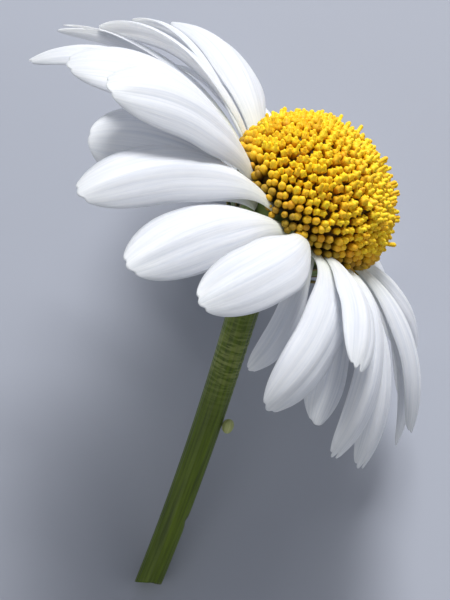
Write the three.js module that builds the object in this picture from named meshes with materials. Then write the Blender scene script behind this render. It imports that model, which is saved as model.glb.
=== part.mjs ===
// A cut marguerite daisy lying on a table: the stem's cut end and the tips of the lowest petals
// touch the surface. The head is a receptacle that carries three bands of disc florets, 29 white
// ray petals in two staggered layers, and two rows of green bracts behind them. The stem runs back
// from the receptacle and down to the table. Millimetres and degrees. +Z is up, the table is Z = 0,
// and the origin is under the middle of the flower.

import * as THREE from "three";

const deg = THREE.MathUtils.degToRad;
const mix = THREE.MathUtils.lerp;

// ---- driving dimensions -----------------------------------------------------------------------------

// Where the head is: its centre is the middle of the disc's base, and its axis points out of the face.
const HEAD_CENTRE = new THREE.Vector3(8.51, 5.83, 25.73);
const AXIS_HEADING = 37.9;
const AXIS_RISE = 28.8;
const HEAD_ROLL = 14.8;

// The disc of florets is a dome on the receptacle's own low cone.
const DISC_RADIUS = 9.7;
const DISC_HEIGHT = 8.8;
const FLORET_LENGTH = 2.6;
const FLORET_GAP = 0.25;

// Petals spring from under the disc's edge, in a front and a back layer.
const CLAW_RADIUS = 7.5;
const LAYER_STEP = 0.7;
const FRONT_LAYER = -0.95;
const PETAL_THICKNESS = 0.26;

// The green cup behind the petals, and its bracts.
const CUP_RADIUS = 7.9;
const CUP_DEPTH = 5.9;
const BRACTS_PER_ROW = 12;
const BRACT_THICKNESS = 0.36;

// The stem swells where it meets the cup.
const STEM_TOP_RADIUS = 1.62;
const STEM_END_RADIUS = 1.36;
const NECK_RADIUS = 2.5;

// A pale leaf bud sits on the stem's right-hand side, a share of the way down from the cup.
const BUD_RADIUS = 0.62;
const BUD_LENGTH = 1.6;
const BUD_AT = 0.53;
const BUD_GAP = 0.05;

// ---- materials --------------------------------------------------------------------------------------

const finish = (name, color, roughness) =>
  new THREE.MeshStandardMaterial({ name, color, roughness, metalness: 0 });

const PETAL_WHITE = finish("petal_white", 0xe9ebf0, 0.55);
const FLORET_YELLOW = finish("floret_yellow", 0xe3b012, 0.7);
const BRACT_GREEN = finish("bract_green", 0x5f7430, 0.6);
const CUP_GREEN = finish("cup_green", 0x6d8038, 0.65);
const STEM_GREEN = finish("stem_green", 0x4c5f1c, 0.5);
const BUD_GREEN = finish("bud_green", 0xa9ae6a, 0.6);

// ---- mesh helpers -----------------------------------------------------------------------------------

// A closed mesh from shared points and faces of three or four corners, counter-clockwise seen from
// outside.
function closedMesh(points, faces) {
  const index = [];
  for (const [a, b, c, d] of faces) {
    index.push(a, b, c);
    if (d !== undefined) index.push(a, c, d);
  }
  const geometry = new THREE.BufferGeometry().setFromPoints(points);
  geometry.setIndex(index);
  geometry.computeVertexNormals();
  return geometry;
}

// A thin leaf: a front and a back sheet of rows by columns, joined round their four edges.
function leaf(front, back) {
  const rows = front.length;
  const columns = front[0].length;
  const f = (i, j) => i * columns + j;
  const b = (i, j) => rows * columns + f(i, j);
  const faces = [];
  for (let i = 0; i < rows - 1; i++) {
    for (let j = 0; j < columns - 1; j++) {
      faces.push([f(i, j), f(i + 1, j), f(i + 1, j + 1), f(i, j + 1)]);
      faces.push([b(i, j), b(i, j + 1), b(i + 1, j + 1), b(i + 1, j)]);
    }
    const last = columns - 1;
    faces.push([f(i, 0), b(i, 0), b(i + 1, 0), f(i + 1, 0)]);
    faces.push([f(i, last), f(i + 1, last), b(i + 1, last), b(i, last)]);
  }
  for (let j = 0; j < columns - 1; j++) {
    const last = rows - 1;
    faces.push([f(0, j), f(0, j + 1), b(0, j + 1), b(0, j)]);
    faces.push([f(last, j), b(last, j), b(last, j + 1), f(last, j + 1)]);
  }
  return closedMesh([...front.flat(), ...back.flat()], faces);
}

// A closed round body: rings of points one after another, each ring shut by a fan at the two ends.
function capped(rings) {
  const sides = rings[0].length;
  const at = (i, j) => i * sides + (j % sides);
  const centreOf = (ring) =>
    ring.reduce((sum, p) => sum.add(p), new THREE.Vector3()).divideScalar(sides);
  const points = [...rings.flat(), centreOf(rings[0]), centreOf(rings.at(-1))];
  const [start, end] = [points.length - 2, points.length - 1];
  const faces = [];
  for (let j = 0; j < sides; j++) {
    faces.push([start, at(0, j + 1), at(0, j)]);
    faces.push([end, at(rings.length - 1, j), at(rings.length - 1, j + 1)]);
    for (let i = 0; i < rings.length - 1; i++)
      faces.push([at(i, j), at(i, j + 1), at(i + 1, j + 1), at(i + 1, j)]);
  }
  return closedMesh(points, faces);
}

// A point in the head's frame: distance from the axis, azimuth from the top of the head, and height
// along the axis.
function onHead(radius, azimuth, height) {
  const a = deg(azimuth);
  return new THREE.Vector3(radius * Math.cos(a), radius * Math.sin(a), height);
}

// A direction in the head's frame: heading round the axis, and rise towards the front of the flower.
function headDirection(heading, rise) {
  return onHead(Math.cos(deg(rise)), heading, Math.sin(deg(rise)));
}

// ---- petals -----------------------------------------------------------------------------------------

// Each petal's own shape. base and tip are azimuths, reach the tip's distance from the axis, and
// drop how far the tip lies behind the disc's base. rise and fall are the midrib's slopes at the
// base and at the tip, and bow its sideways bend. turn is the blade's twist at the base and at the
// tip, cup how far its edges curl back, and layer 0 is in front.
const PETALS = [
  { base: -113, tip: -127, reach: 29.0, drop: 2.4, rise: 27, fall: -40,
    bow: 0, width: 8.6, turn: [0, -6], cup: 26, layer: 0 },
  { base: -102, tip: -113, reach: 28.6, drop: 3.9, rise: 14, fall: -54,
    bow: 0, width: 2.8, turn: [10, 30], cup: 50, layer: 1.2 },
  { base: -95, tip: -99.5, reach: 28.0, drop: 5.2, rise: 28, fall: -66,
    bow: 0, width: 5.4, turn: [15, 36], cup: 30, layer: 0.2 },
  { base: -87, tip: -99, reach: 31.7, drop: 8.8, rise: 18, fall: -50,
    bow: 0, width: 3.6, turn: [10, 40], cup: 40, layer: 0.9 },
  { base: -78, tip: -81, reach: 30.2, drop: 9.9, rise: 28, fall: -76,
    bow: 0, width: 7.0, turn: [0, 0], cup: 35, layer: 1.3 },
  { base: -64, tip: -63.5, reach: 29.3, drop: 4.6, rise: 28, fall: -54,
    bow: 0, width: 8.2, turn: [-14, -12], cup: 30, layer: 0.5 },
  { base: -44, tip: -49.5, reach: 28.4, drop: 1.4, rise: 31, fall: -46,
    bow: 0, width: 9.2, turn: [-10, -10], cup: 42, layer: 0 },
  { base: -30, tip: -50, reach: 25.1, drop: 7.4, rise: 4, fall: -42,
    bow: -6, width: 9.4, turn: [-10, -30], cup: 25, layer: 1.2 },
  { base: -15, tip: -33, reach: 29.0, drop: 9.2, rise: 17, fall: -52,
    bow: 14, width: 7.6, turn: [0, -8], cup: 45, layer: 0 },
  { base: 2, tip: -14.5, reach: 29.0, drop: 9.4, rise: 8, fall: -46,
    bow: 4, width: 7.8, turn: [0, 0], cup: 40, layer: 1 },
  { base: 18, tip: 0, reach: 30.0, drop: 6.0, rise: 16, fall: -40,
    bow: -14, width: 7.0, turn: [0, 0], cup: 35, layer: 0 },
  { base: 34, tip: 26, reach: 18.6, drop: 11.6, rise: -20, fall: -120,
    bow: 0, width: 3.4, turn: [0, 0], cup: 30, layer: 1 },
  { base: 33, tip: 26.5, reach: 26.8, drop: 10.6, rise: 17, fall: -80,
    bow: -30, width: 5.9, turn: [0, 0], cup: 40, layer: 0.7 },
  { base: 50, tip: 41, reach: 25.0, drop: 9.8, rise: 4, fall: -50,
    bow: 0, width: 6.4, turn: [0, 0], cup: 35, layer: 1.3 },
  { base: 42, tip: 36.5, reach: 25.6, drop: 2.2, rise: 20, fall: -34,
    bow: -10, width: 5.4, turn: [0, 0], cup: 40, layer: 0 },
  { base: 61.5, tip: 47, reach: 27.4, drop: 11.0, rise: 34, fall: -84,
    bow: -16, width: 4.8, turn: [0, 0], cup: 40, layer: 1 },
  { base: 68, tip: 59.5, reach: 26.6, drop: 11.6, rise: 26, fall: -76,
    bow: 0, width: 6.2, turn: [0, 0], cup: 40, layer: 1.7 },
  { base: 78, tip: 83, reach: 24.6, drop: 8.4, rise: 20, fall: -64,
    bow: 0, width: 5.4, turn: [0, 0], cup: 40, layer: 0 },
  { base: 86, tip: 92, reach: 24.6, drop: 11.8, rise: 20, fall: -70,
    bow: 0, width: 5.6, turn: [0, 0], cup: 35, layer: 1 },
  { base: 97, tip: 122, reach: 23.4, drop: 7.6, rise: 2, fall: -54,
    bow: 0, width: 5.0, turn: [0, 0], cup: 35, layer: 0 },
  { base: 111, tip: 114, reach: 24.0, drop: 11.0, rise: 6, fall: -50,
    bow: 0, width: 5.4, turn: [0, 0], cup: 35, layer: 1 },
  { base: 125, tip: 136, reach: 23.6, drop: 9.4, rise: 0, fall: -44,
    bow: 0, width: 5.6, turn: [0, 0], cup: 35, layer: 0 },
  { base: 140, tip: 146, reach: 24.4, drop: 11.4, rise: -4, fall: -46,
    bow: 0, width: 5.6, turn: [0, 0], cup: 35, layer: 1 },
  { base: 155, tip: 160, reach: 25.4, drop: 7.4, rise: 6, fall: -34,
    bow: 0, width: 5.6, turn: [0, 0], cup: 35, layer: 0 },
  { base: 170, tip: 172, reach: 24.0, drop: 10.0, rise: -6, fall: -40,
    bow: 0, width: 5.6, turn: [0, 0], cup: 35, layer: 1 },
  { base: 185, tip: 186, reach: 26.0, drop: 9.1, rise: 6, fall: -44,
    bow: 0, width: 5.6, turn: [0, 0], cup: 35, layer: 0 },
  { base: 200, tip: 200, reach: 26.0, drop: 11.6, rise: -4, fall: -44,
    bow: 0, width: 5.6, turn: [0, 0], cup: 35, layer: 1 },
  { base: 215, tip: 213, reach: 28.0, drop: 6.0, rise: 10, fall: -36,
    bow: 0, width: 5.6, turn: [0, 0], cup: 35, layer: 0 },
  { base: 230, tip: 226, reach: 28.0, drop: 6.5, rise: 4, fall: -40,
    bow: 0, width: 5.6, turn: [0, 0], cup: 35, layer: 1 },
];

const PETAL_ROWS = [0, 0.1, 0.22, 0.36, 0.5, 0.64, 0.77, 0.89, 1];
const PETAL_COLUMNS = [-1, -0.5, 0, 0.5, 1];
const CLAW_SHARE = 0.36;
const CLAW_CURL = 0.8;
const WIDEST_FROM = 0.5;
const TIP_FROM = 0.68;
const TIP_ROUND = 0.37;
const TIP_TRIM = 0.05;
const HANDLE_SHARE = 0.36;

// The midrib, a cubic curve whose two handles set the slope and the sideways bend at its ends.
function midrib({ base, tip, reach, drop, rise, fall, bow, layer }) {
  const start = onHead(CLAW_RADIUS, base, FRONT_LAYER - layer * LAYER_STEP);
  const end = onHead(reach, tip, -drop);
  const across = end.clone().sub(start);
  const heading = THREE.MathUtils.radToDeg(Math.atan2(across.y, across.x));
  const handle = across.length() * HANDLE_SHARE;
  return new THREE.CubicBezierCurve3(
    start,
    start.clone().addScaledVector(headDirection(heading - bow, rise), handle),
    end.clone().addScaledVector(headDirection(heading + bow, fall), -handle),
    end,
  );
}

// A petal's half width along its length: a narrow claw, a parallel blade and a rounded tip.
function halfWidth(width, s) {
  const opened = THREE.MathUtils.smoothstep(s, 0, WIDEST_FROM);
  const rounded = Math.sqrt(1 - Math.max(0, (s - TIP_FROM) / TIP_ROUND) ** 2);
  return (width / 2) * mix(CLAW_SHARE, 1, opened) * rounded;
}

function petalGeometry(spec) {
  const curve = midrib(spec);
  const half = PETAL_THICKNESS / 2;
  const front = [];
  const back = [];
  for (const s of PETAL_ROWS) {
    const frontRow = [];
    const backRow = [];
    for (const v of PETAL_COLUMNS) {
      const t = s * (1 - TIP_TRIM * v * v * s);
      const along = curve.getTangent(t);
      const flat = headDirection(mix(spec.base, spec.tip, t) + 90, 0);
      const side = flat.addScaledVector(along, -flat.dot(along)).normalize();
      side.applyAxisAngle(along, deg(mix(spec.turn[0], spec.turn[1], t)));
      const out = along.clone().cross(side);
      const curl = mix(CLAW_CURL, deg(spec.cup), THREE.MathUtils.smoothstep(t, 0, WIDEST_FROM));
      const w = halfWidth(spec.width, s);
      const middle = curve.getPoint(t);
      middle.addScaledVector(side, (w * Math.sin(curl * v)) / curl);
      middle.addScaledVector(out, (-w * (1 - Math.cos(curl * v))) / curl);
      const normal = out.clone().applyAxisAngle(along, -curl * v);
      frontRow.push(middle.clone().addScaledVector(normal, half));
      backRow.push(middle.clone().addScaledVector(normal, -half));
    }
    front.push(frontRow);
    back.push(backRow);
  }
  return leaf(front, back);
}

// ---- disc florets -----------------------------------------------------------------------------------

// The disc's florets stand side by side on the receptacle. Each band is a ring of the dome, as
// thick as a floret is long, with bumps for the florets' heads. The bands are told by their angle
// up from the disc's edge.
const DISC_BANDS = [
  { name: "disc_florets_outer", from: 2, to: 26, around: 40 },
  { name: "disc_florets_middle", from: 28, to: 56, around: 30 },
  { name: "disc_florets_centre", from: 58, to: 90, around: 20 },
];
const BAND_STEPS = 4;
const FLORET_BUMP = 0.3;

// A point on the dome at an angle up from its edge, a share of the way from the receptacle's skin
// to the florets' tips.
function onDome(angle, azimuth, inset) {
  const radius = (DISC_RADIUS - inset) * Math.cos(deg(angle));
  return onHead(radius, azimuth, (DISC_HEIGHT - inset) * Math.sin(deg(angle)));
}

function bandGeometry({ from, to, around }) {
  const closedTop = to >= 90;
  const outer = [];
  const inner = [];
  for (let i = 0; i <= BAND_STEPS; i++) {
    const angle = mix(from, closedTop ? 84 : to, i / BAND_STEPS);
    const ringOf = (inset) =>
      Array.from({ length: around }, (_, j) => {
        const bump = inset ? 0 : ((i + j) % 2) * FLORET_BUMP;
        return onDome(angle, (360 * (j + (i % 2) / 2)) / around, inset + bump);
      });
    outer.push(ringOf(0));
    inner.push(ringOf(FLORET_LENGTH));
  }
  if (closedTop) return capped([...inner.reverse(), ...outer]);
  const rings = [...outer, ...inner.reverse()];
  const at = (i, j) => (i % rings.length) * around + (j % around);
  const faces = [];
  for (let i = 0; i < rings.length; i++)
    for (let j = 0; j < around; j++)
      faces.push([at(i, j), at(i, j + 1), at(i + 1, j + 1), at(i + 1, j)]);
  return closedMesh(rings.flat(), faces);
}

// ---- receptacle and bracts --------------------------------------------------------------------------

// The receptacle's outline, from the neck on the stem's side, round the cup's rim, to the top of
// the cone.
function receptacleGeometry() {
  const cone = DISC_RADIUS - FLORET_LENGTH - FLORET_GAP;
  const height = DISC_HEIGHT - FLORET_LENGTH - FLORET_GAP;
  const outline = [new THREE.Vector2(0, -CUP_DEPTH)];
  for (const angle of [90, 68, 50, 34, 20]) {
    const radius = mix(NECK_RADIUS, CUP_RADIUS - 1.0, Math.cos(deg(angle)));
    outline.push(new THREE.Vector2(radius, -1.6 - (CUP_DEPTH - 1.6) * Math.sin(deg(angle))));
  }
  for (const angle of [-8, 15, 35, 52, 70])
    outline.push(new THREE.Vector2(cone * Math.cos(deg(angle)), height * Math.sin(deg(angle))));
  outline.push(new THREE.Vector2(0, height));
  return new THREE.LatheGeometry(outline, 24).rotateX(Math.PI / 2);
}

// Bracts lie on the cup like roof tiles: the outer row springs near the stem and covers the gaps of
// the inner row.
const BRACT_ROWS = [
  { name: "bract_inner", lift: 0.5, from: 62, to: 8, width: 3.4, shift: 0 },
  { name: "bract_outer", lift: 1.1, from: 84, to: 38, width: 3.0, shift: 0.5 },
];
const BRACT_STEPS = [0, 0.34, 0.68, 1];
const BRACT_SPREAD = [-1, 0, 1];

// A point on the cup at an angle round its section, 90 at the neck and 0 at the rim, lifted off its
// skin.
function onCup(angle, azimuth, lift) {
  const radius = mix(NECK_RADIUS, CUP_RADIUS - 1.0, Math.cos(deg(angle))) + lift * Math.cos(deg(angle));
  return onHead(radius, azimuth, -1.6 - (CUP_DEPTH - 1.6 + lift) * Math.sin(deg(angle)));
}

function bractGeometry({ lift, from, to, width }, azimuth) {
  const sheet = (height) =>
    BRACT_STEPS.map((s) =>
      BRACT_SPREAD.map((v) => {
        const angle = mix(from, to, s);
        const radius = onCup(angle, 0, lift).x;
        const half = (width / 2) * Math.sqrt(1.02 - s * s) * mix(0.75, 1, s);
        const spread = THREE.MathUtils.radToDeg(Math.min(half / radius, 0.21));
        return onCup(angle, azimuth + v * spread, lift + height);
      }),
    );
  return leaf(sheet(-BRACT_THICKNESS / 2), sheet(BRACT_THICKNESS / 2));
}

// ---- stem -------------------------------------------------------------------------------------------

// The stem's line in the part's own frame: straight back out of the cup, bending down to the table.
const STEM_END = new THREE.Vector3(-16.9, -34.5, -24.45).add(HEAD_CENTRE);
const STEM_END_SLOPE = 22;
const STEM_END_HEADING = 246;
const STEM_SIDES = 12;
const STEM_STEPS = 14;
const CUT_TILT = 18;

function headAxis() {
  const [h, r] = [deg(AXIS_HEADING), deg(AXIS_RISE)];
  return new THREE.Vector3(Math.cos(h) * Math.cos(r), Math.sin(h) * Math.cos(r), Math.sin(r));
}

function stemCurve() {
  const start = HEAD_CENTRE.clone().addScaledVector(headAxis(), -CUP_DEPTH - 0.3);
  const [h, slope] = [deg(STEM_END_HEADING), deg(STEM_END_SLOPE)];
  const arrive = new THREE.Vector3(
    Math.cos(h) * Math.cos(slope),
    Math.sin(h) * Math.cos(slope),
    -Math.sin(slope),
  );
  return new THREE.CubicBezierCurve3(
    start,
    start.clone().addScaledVector(headAxis(), -1.5),
    STEM_END.clone().addScaledVector(arrive, -22),
    STEM_END,
  );
}

function stemRadius(s) {
  const swell = Math.exp(-s * 12);
  return mix(STEM_TOP_RADIUS, STEM_END_RADIUS, s) + (NECK_RADIUS - STEM_TOP_RADIUS) * swell;
}

function stemGeometry() {
  const curve = stemCurve();
  const cutNormal = new THREE.Vector3(0, -Math.cos(deg(CUT_TILT)), -Math.sin(deg(CUT_TILT)));
  const rings = [];
  for (let i = 0; i <= STEM_STEPS; i++) {
    const s = i / STEM_STEPS;
    const centre = curve.getPointAt(s);
    const along = curve.getTangentAt(s);
    const side = along.clone().cross(new THREE.Vector3(0, 0, 1)).normalize();
    const up = side.clone().cross(along);
    const ring = [];
    for (let j = 0; j < STEM_SIDES; j++) {
      const a = (2 * Math.PI * j) / STEM_SIDES;
      const spoke = side.clone().multiplyScalar(Math.cos(a)).addScaledVector(up, -Math.sin(a));
      const point = centre.clone().addScaledVector(spoke, stemRadius(s));
      // The last ring slides along the stem until it lies on the slanting cut.
      if (i === STEM_STEPS) {
        const off = point.clone().sub(centre).dot(cutNormal);
        point.addScaledVector(along, -off / along.dot(cutNormal));
      }
      ring.push(point);
    }
    rings.push(ring);
  }
  return capped(rings);
}

// The bud is an egg lying along the stem, its side against the stem's side.
function budGeometry() {
  const curve = stemCurve();
  const along = curve.getTangentAt(BUD_AT);
  const right = new THREE.Vector3(0, 0, 1).cross(along).normalize();
  const centre = curve.getPointAt(BUD_AT);
  centre.addScaledVector(right, stemRadius(BUD_AT) + BUD_RADIUS + BUD_GAP);
  const egg = new THREE.SphereGeometry(BUD_RADIUS, 10, 8).scale(1, BUD_LENGTH / 2 / BUD_RADIUS, 1);
  egg.applyQuaternion(new THREE.Quaternion().setFromUnitVectors(new THREE.Vector3(0, 1, 0), along));
  return egg.translate(centre.x, centre.y, centre.z);
}

// ---- assembly ---------------------------------------------------------------------------------------

// The head's frame: x to its upper side, y to its right-hand side seen from behind, z out of the
// flower's face.
function headFrame() {
  const axis = headAxis();
  const level = new THREE.Vector3(0, 0, 1);
  const upper = level.clone().addScaledVector(axis, -axis.dot(level)).normalize();
  upper.applyAxisAngle(axis, deg(HEAD_ROLL));
  return new THREE.Matrix4().makeBasis(upper, axis.clone().cross(upper), axis);
}

const number = (i) => String(i + 1).padStart(2, "0");

const head = new THREE.Group();
head.quaternion.setFromRotationMatrix(headFrame());
head.position.copy(HEAD_CENTRE);

function add(group, name, geometry, material) {
  const mesh = new THREE.Mesh(geometry, material);
  mesh.name = name;
  group.add(mesh);
}

PETALS.forEach((spec, i) => add(head, `petal_${number(i)}`, petalGeometry(spec), PETAL_WHITE));
for (const band of DISC_BANDS) add(head, band.name, bandGeometry(band), FLORET_YELLOW);
add(head, "receptacle", receptacleGeometry(), CUP_GREEN);
for (const row of BRACT_ROWS)
  for (let i = 0; i < BRACTS_PER_ROW; i++) {
    const azimuth = (360 * (i + row.shift)) / BRACTS_PER_ROW;
    add(head, `${row.name}_${number(i)}`, bractGeometry(row, azimuth), BRACT_GREEN);
  }

const daisy = new THREE.Group();
daisy.add(head);
add(daisy, "stem", stemGeometry(), STEM_GREEN);
add(daisy, "stem_bud", budGeometry(), BUD_GREEN);

export default daisy;
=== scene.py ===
"""A cut marguerite daisy lying on a pale surface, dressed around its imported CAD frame.

The flower is built from the same few measures as the CAD part: a head frame, a list of ray petals, a
domed disc of florets, a green cup with two rows of bracts, and a curved stem. Every surface is a grid
worked out with numpy in millimetres, in the head's or the row's frame, and put into its mesh in metres.
"""

from __future__ import annotations

import logging
import math
from dataclasses import dataclass, field
from enum import Enum
from typing import Any, Iterable

import bmesh
import bpy
import numpy as np
from mathutils import Matrix


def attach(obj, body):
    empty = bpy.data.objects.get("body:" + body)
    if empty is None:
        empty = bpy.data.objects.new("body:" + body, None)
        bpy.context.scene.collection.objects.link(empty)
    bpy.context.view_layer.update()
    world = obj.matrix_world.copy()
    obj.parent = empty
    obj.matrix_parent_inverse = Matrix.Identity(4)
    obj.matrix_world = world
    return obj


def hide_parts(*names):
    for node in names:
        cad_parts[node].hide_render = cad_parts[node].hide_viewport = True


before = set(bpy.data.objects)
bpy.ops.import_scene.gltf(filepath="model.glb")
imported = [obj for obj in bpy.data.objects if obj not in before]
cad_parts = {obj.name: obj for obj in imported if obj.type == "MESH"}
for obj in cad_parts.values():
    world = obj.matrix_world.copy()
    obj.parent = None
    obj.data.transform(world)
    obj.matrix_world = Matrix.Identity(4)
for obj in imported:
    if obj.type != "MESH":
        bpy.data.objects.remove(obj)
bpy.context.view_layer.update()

log = logging.getLogger("daisy")
MM = 0.001
Array = np.ndarray
SEED = 7


# ---- small mathematics -----------------------------------------------


def mix(a: Any, b: Any, share: Any) -> Any:
    """Value a share of the way from a to b: a + (b - a) share."""
    return a + (b - a) * share


def smoothstep(x: Array, low: float, high: float) -> Array:
    """Smooth step from 0 at low to 1 at high: 3 q^2 - 2 q^3, with q the clipped share."""
    q = np.clip((x - low) / (high - low), 0.0, 1.0)
    return q * q * (3.0 - 2.0 * q)


def unit(vectors: Array) -> Array:
    """Vectors divided by their own lengths, along the last axis."""
    return vectors / np.linalg.norm(vectors, axis=-1, keepdims=True)


def bell(x: Array, centre: float, spread: float) -> Array:
    """A bump of height 1 at centre: exp(-((x - centre) / spread)^2)."""
    return np.exp(-(((x - centre) / spread) ** 2))


def polar(radius: Any, azimuth: Any, height: Any) -> Array:
    """Points in the head's frame.

    Args:
        radius: distance from the axis.
        azimuth: degrees round the axis from the head's upper side.
        height: distance along the axis, towards the face.

    Returns:
        Array with the last axis (r cos a, r sin a, h).
    """
    a = np.radians(azimuth)
    return np.stack(np.broadcast_arrays(radius * np.cos(a), radius * np.sin(a), height), axis=-1)


def cubic(points: Array, t: Array) -> tuple[Array, Array]:
    """A cubic curve of four points and its direction.

    Args:
        points: the four control points, shape (4, 3).
        t: parameters from 0 to 1, of any shape.

    Returns:
        Points sum of C(3,k) t^k (1-t)^(3-k) P_k, and unit directions, both with t's shape plus 3.
    """
    t = t[..., None]
    q = 1.0 - t
    p0, p1, p2, p3 = points
    place = q**3 * p0 + 3 * q**2 * t * p1 + 3 * q * t**2 * p2 + t**3 * p3
    slope = 3 * (q**2 * (p1 - p0) + 2 * q * t * (p2 - p1) + t**2 * (p3 - p2))
    return place, unit(slope)


@dataclass(frozen=True)
class HeadFrame:
    """Where the flower's head is, in millimetres and degrees in the row's frame.

    x points to the head's upper side, y to its right-hand side seen from behind, and z out of its face.
    """

    centre: tuple[float, float, float] = (8.51, 5.83, 25.73)
    heading: float = 37.9
    rise: float = 28.8
    roll: float = 14.8

    @property
    def axis(self) -> Array:
        """The direction the flower faces."""
        h, r = math.radians(self.heading), math.radians(self.rise)
        return np.array([math.cos(h) * math.cos(r), math.sin(h) * math.cos(r), math.sin(r)])

    @property
    def basis(self) -> Array:
        """Rows x, y and z of the head's frame: the level side square to the axis, turned by the roll."""
        axis = self.axis
        upper = unit(np.array([0.0, 0.0, 1.0]) - axis * axis[2])
        roll = math.radians(self.roll)
        upper = upper * math.cos(roll) + np.cross(axis, upper) * math.sin(roll)
        return np.stack([upper, np.cross(axis, upper), axis])

    def to_row(self, points: Array) -> Array:
        """Points of the head's frame in the row's frame, in millimetres: centre + p B."""
        return np.asarray(self.centre) + points @ self.basis


HEAD = HeadFrame()


# ---- meshes ----------------------------------------------------------


def grid_faces(rows: int, columns: int, wrap: bool = False) -> Array:
    """Quads of a grid of points stored row by row.

    Args:
        rows: number of rows of points.
        columns: points in a row.
        wrap: whether the last column joins the first.

    Returns:
        Faces (i, j), (i+1, j), (i+1, j+1), (i, j+1), shape (n, 4).
    """
    across = columns if wrap else columns - 1
    i, j = np.meshgrid(np.arange(rows - 1), np.arange(across), indexing="ij")
    k = (j + 1) % columns
    here, ahead = i * columns, (i + 1) * columns
    quads = np.stack([here + j, ahead + j, ahead + k, here + k], axis=-1)
    return quads.reshape(-1, 4)


def leaf_faces(rows: int, columns: int) -> Array:
    """Quads of a closed leaf: a front sheet, a back sheet turned over, and a rim between their edges.

    Args:
        rows: rows of points in each sheet.
        columns: points in a row.

    Returns:
        Faces of the front points followed by the back points, shape (n, 4).
    """
    sheet = grid_faces(rows, columns)
    size = rows * columns
    i, j = np.arange(rows - 1), np.arange(columns - 1)
    left, right = i * columns, i * columns + columns - 1
    foot, end = j, (rows - 1) * columns + j
    rims = [
        np.stack([left, left + size, left + columns + size, left + columns], axis=-1),
        np.stack([right, right + columns, right + columns + size, right + size], axis=-1),
        np.stack([foot, foot + 1, foot + 1 + size, foot + size], axis=-1),
        np.stack([end, end + size, end + 1 + size, end + 1], axis=-1),
    ]
    return np.concatenate([sheet, sheet[:, ::-1] + size, *rims])


def tube_faces(rows: int, columns: int) -> list[Array]:
    """Faces of a closed tube of rings: its wrapped grid, and one many-sided cap at each end.

    Args:
        rows: number of rings.
        columns: points in a ring.

    Returns:
        The wall's quads, then the first ring's cap, then the last ring's.
    """
    wall = grid_faces(rows, columns, wrap=True)[:, ::-1]
    caps = [np.arange(columns)[::-1], (rows - 1) * columns + np.arange(columns)]
    return [*wall, *caps]


def new_piece(
    name: str,
    points: Array,
    faces: Iterable[Array],
    attributes: dict[str, Array],
    material: bpy.types.Material,
    replaces: Iterable[str],
) -> bpy.types.Object:
    """Makes one piece of the flower, riding on the root body.

    Args:
        name: the piece's name.
        points: its points in the row's frame, in millimetres, shape (n, 3).
        faces: its faces, counter-clockwise seen from outside.
        attributes: numbers for each point, by name.
        material: its finish.
        replaces: the CAD nodes that it stands for.

    Returns:
        The new object.
    """
    mesh = bpy.data.meshes.new(name)
    mesh.from_pydata((points * MM).tolist(), [], [list(map(int, f)) for f in faces])
    for key, values in attributes.items():
        layer = mesh.attributes.new(key, "FLOAT", "POINT")
        layer.data.foreach_set("value", np.ascontiguousarray(values, dtype=np.float32).ravel())
    mesh.polygons.foreach_set("use_smooth", np.ones(len(mesh.polygons), dtype=bool))
    mesh.materials.append(material)
    mesh.update()
    piece = bpy.data.objects.new(name, mesh)
    bpy.context.scene.collection.objects.link(piece)
    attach(piece, "root")
    nodes = list(replaces)
    if nodes:
        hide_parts(*nodes)
    log.info("%s: %d points, %d faces", name, len(mesh.vertices), len(mesh.polygons))
    return piece


# ---- finishes --------------------------------------------------------


def linear(code: str) -> tuple[float, float, float, float]:
    """An sRGB hex colour such as "#e9ebf0" as linear red, green, blue and an alpha of 1."""
    parts = [int(code[i : i + 2], 16) / 255 for i in (1, 3, 5)]
    r, g, b = (p / 12.92 if p <= 0.04045 else ((p + 0.055) / 1.055) ** 2.4 for p in parts)
    return (r, g, b, 1.0)


def add_node(tree: Any, kind: str, settings: dict[str, Any] | None = None, **inputs: Any) -> Any:
    """Adds one shader node.

    Args:
        tree: the material's node tree.
        kind: the node's type name.
        settings: the node's own properties.
        **inputs: sockets by name with _ for a space: a value to set, or another node's output to link.

    Returns:
        The new node.
    """
    node = tree.nodes.new(kind)
    for key, value in (settings or {}).items():
        setattr(node, key, value)
    for key, value in inputs.items():
        numbered = key[0] == "i" and key[1:].isdigit()
        socket = node.inputs[int(key[1:]) if numbered else key.replace("_", " ")]
        if isinstance(value, bpy.types.NodeSocket):
            tree.links.new(value, socket)
        else:
            socket.default_value = value
    return node


def scaled(tree: Any, value: Any, factor: Any) -> Any:
    """A socket's number times a factor, as a socket."""
    return add_node(tree, "ShaderNodeMath", {"operation": "MULTIPLY"}, i0=value, i1=factor).outputs[0]


def spread(tree: Any, **parts: Any) -> Any:
    """A vector joined from X, Y and Z sockets or numbers, as a socket."""
    return add_node(tree, "ShaderNodeCombineXYZ", **parts).outputs[0]


def ramp(tree: Any, share: Any, stops: list[tuple[float, str]]) -> Any:
    """A colour ramp.

    Args:
        tree: the material's node tree.
        share: the socket that runs along the ramp.
        stops: places from 0 to 1 with their sRGB hex colours.

    Returns:
        The ramp's colour output.
    """
    node = add_node(tree, "ShaderNodeValToRGB", Fac=share)
    elements = node.color_ramp.elements
    while len(elements) < len(stops):
        elements.new(1.0)
    for element, (place, code) in zip(elements, stops):
        element.position = place
        element.color = linear(code)
    return node.outputs["Color"]


def attribute(tree: Any, name: str) -> Any:
    """The number stored in the mesh under name, as a socket."""
    return add_node(tree, "ShaderNodeAttribute", {"attribute_name": name}).outputs["Fac"]


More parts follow.
